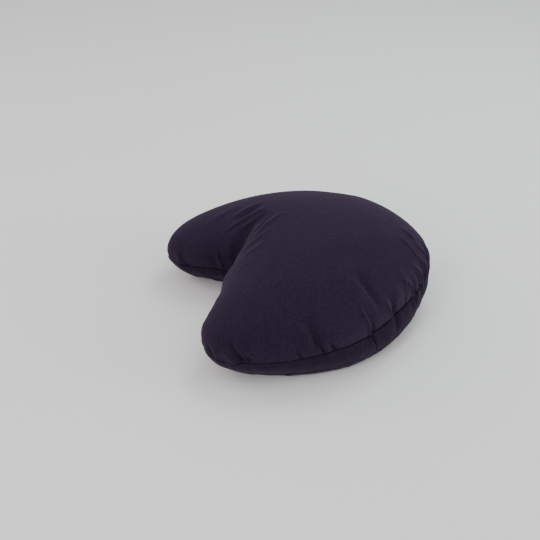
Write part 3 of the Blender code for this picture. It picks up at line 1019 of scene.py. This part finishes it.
def cotton(name, dark, light):
    """Matt cotton twill of one aubergine colour: worn mottling, fine diagonal weave and lint."""
    material = bpy.data.materials.new(name)
    material.use_nodes = True
    tree = material.node_tree
    link = tree.links.new
    shader = tree.nodes["Principled BSDF"]
    set_inputs(shader, FINISH)
    place = tree.nodes.new("ShaderNodeTexCoord").outputs["Object"]
    cloth = tree.nodes.new("ShaderNodeUVMap")
    cloth.uv_map = "cloth"

    # Twill: fine ribs on the diagonal, broken by the crossing threads
    turn = tree.nodes.new("ShaderNodeMapping")
    turn.inputs["Rotation"].default_value = (0.0, 0.0, math.radians(RIB_ANGLE))
    link(cloth.outputs["UV"], turn.inputs["Vector"])
    ribs = tree.nodes.new("ShaderNodeTexWave")
    set_inputs(ribs, RIBS)
    link(turn.outputs["Vector"], ribs.inputs["Vector"])
    weave = multiply_add(tree, ribs.outputs["Fac"], 1.0)
    link(noise(tree, cloth.outputs["UV"], THREADS), weave.inputs[2])

    # Colour: mottling, grain and ribs added up
    mottled = multiply_add(tree, noise(tree, place, MOTTLE), MOTTLE_PART)
    mottled.inputs[2].default_value = COLOUR_START
    grainy = multiply_add(tree, noise(tree, place, GRAIN), GRAIN_PART)
    link(mottled.outputs[0], grainy.inputs[2])
    ribbed = multiply_add(tree, ribs.outputs["Fac"], RIB_PART)
    link(grainy.outputs[0], ribbed.inputs[2])
    mix = tree.nodes.new("ShaderNodeMix")
    mix.data_type = "RGBA"
    link(ribbed.outputs[0], mix.inputs[0])
    mix.inputs[6].default_value = (*dark, 1.0)
    mix.inputs[7].default_value = (*light, 1.0)
    link(mix.outputs[2], shader.inputs["Base Color"])

    # Bump: the weave, and the uneven hand of the cloth over it
    fine = bump(tree, weave.outputs[0], WEAVE_BUMP)
    soft = bump(tree, noise(tree, place, HAND), HAND_BUMP)
    link(fine.outputs["Normal"], soft.inputs["Normal"])
    link(soft.outputs["Normal"], shader.inputs["Normal"])
    return material


# --- Camera, floor and light

CAMERA_AZIMUTH = 76.9
CAMERA_RISE = 31.5
CAMERA_FAR = 1.5
CAMERA_TARGET = (0.0, 0.0, 0.06)  # before the plan's middle is moved over the origin
CAMERA_FOCAL = 901.0     # in pixels of a 540 pixel picture
TARGET_PIXEL = (298.3, 270.5)
PICTURE = 540.0
SENSOR = 36.0

FLOOR_REACH = 40.0
FLOOR_PAPER = {"Base Color": (0.93, 0.93, 0.93, 1.0), "Roughness": 0.9}
WORLD = {"Color": (1.0, 1.0, 1.0, 1.0), "Strength": 0.80}
LIGHT_TARGET = (0.0, 0.0, 0.08)
LIGHTS = [
    # name, energy, size, towards the camera, to its right, up, colour
    ("top_light", 12.5, 1.1, -1.0, 0.6, 1.8, (0.80, 0.97, 1.0)),
    ("side_light", 13.0, 0.8, 0.3, 1.9, 0.7, (1.0, 1.0, 1.0)),
    ("rim_light", 6.0, 0.6, -0.6, -1.7, 1.0, (1.0, 0.72, 0.86)),
    ("front_light", 6.5, 0.5, 1.3, -0.7, 0.9, (1.0, 0.95, 0.97)),
]


def place_and_aim(thing, place, direction):
    thing.location = place
    thing.rotation_mode = "QUATERNION"
    thing.rotation_quaternion = direction.to_track_quat("-Z", "Y")


def add_camera():
    """The photo's camera. Gives the direction from the cushion to it."""
    turn, rise = math.radians(CAMERA_AZIMUTH), math.radians(CAMERA_RISE)
    level = math.cos(rise)
    back = Vector((math.sin(turn) * level, -math.cos(turn) * level, math.sin(rise)))
    target = Vector(CAMERA_TARGET) - Vector((*MIDDLE, 0.0))
    data = bpy.data.cameras.new("camera")
    data.sensor_width = SENSOR
    data.lens = CAMERA_FOCAL / PICTURE * SENSOR
    data.shift_x = (PICTURE / 2 - TARGET_PIXEL[0]) / PICTURE
    data.shift_y = (TARGET_PIXEL[1] - PICTURE / 2) / PICTURE
    camera = add_object("camera", data)
    place_and_aim(camera, target + back * CAMERA_FAR, -back)
    bpy.context.scene.camera = camera
    return back


def add_stage(back):
    """The floor, the even white world and the lights, which are placed from the camera."""
    ends = (-FLOOR_REACH, FLOOR_REACH)
    floor = bpy.data.meshes.new("floor")
    floor.from_pydata([(x, y, 0.0) for x in ends for y in ends], [], [(0, 2, 3, 1)])
    paper = bpy.data.materials.new("floor_paper")
    paper.use_nodes = True
    set_inputs(paper.node_tree.nodes["Principled BSDF"], FLOOR_PAPER)
    floor.materials.append(paper)
    ground = add_object("floor", floor)
    world = bpy.data.worlds.new("studio")
    world.use_nodes = True
    set_inputs(world.node_tree.nodes["Background"], WORLD)
    bpy.context.scene.world = world
    level = Vector((back.x, back.y, 0.0)).normalized()
    side = Vector((-level.y, level.x, 0.0))
    for name, energy, size, near, right, up, colour in LIGHTS:
        data = bpy.data.lights.new(name, "AREA")
        data.energy, data.size, data.color = energy, size, colour
        place = level * near + side * right + Vector((0.0, 0.0, up))
        place_and_aim(add_object(name, data), place, Vector(LIGHT_TARGET) - place)


# --- The scene

def main():
    back = add_camera()
    skin = build_form()
    skin = simulate(skin)
    skin = wander(skin)
    panel = cotton("aubergine_cotton_cloth", *PANEL_COLOURS)
    # The band is the panel's cloth with painted shade: its darker colours stand in for the shade on
    # it
    band = cotton("aubergine_band_shaded_cloth", *BAND_SHADED_COLOURS)
    for piece, replaced, slot, material in (
        (make_top(skin), "top_panel", "aubergine_cotton", panel),
        (make_band(skin), "side_band", "aubergine_band", band),
        (make_bottom(skin), "bottom_panel", "aubergine_cotton", panel),
    ):
        piece.data.materials.append(material)
        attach(piece, "root")
        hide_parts(replaced)
    add_stage(back)


main()
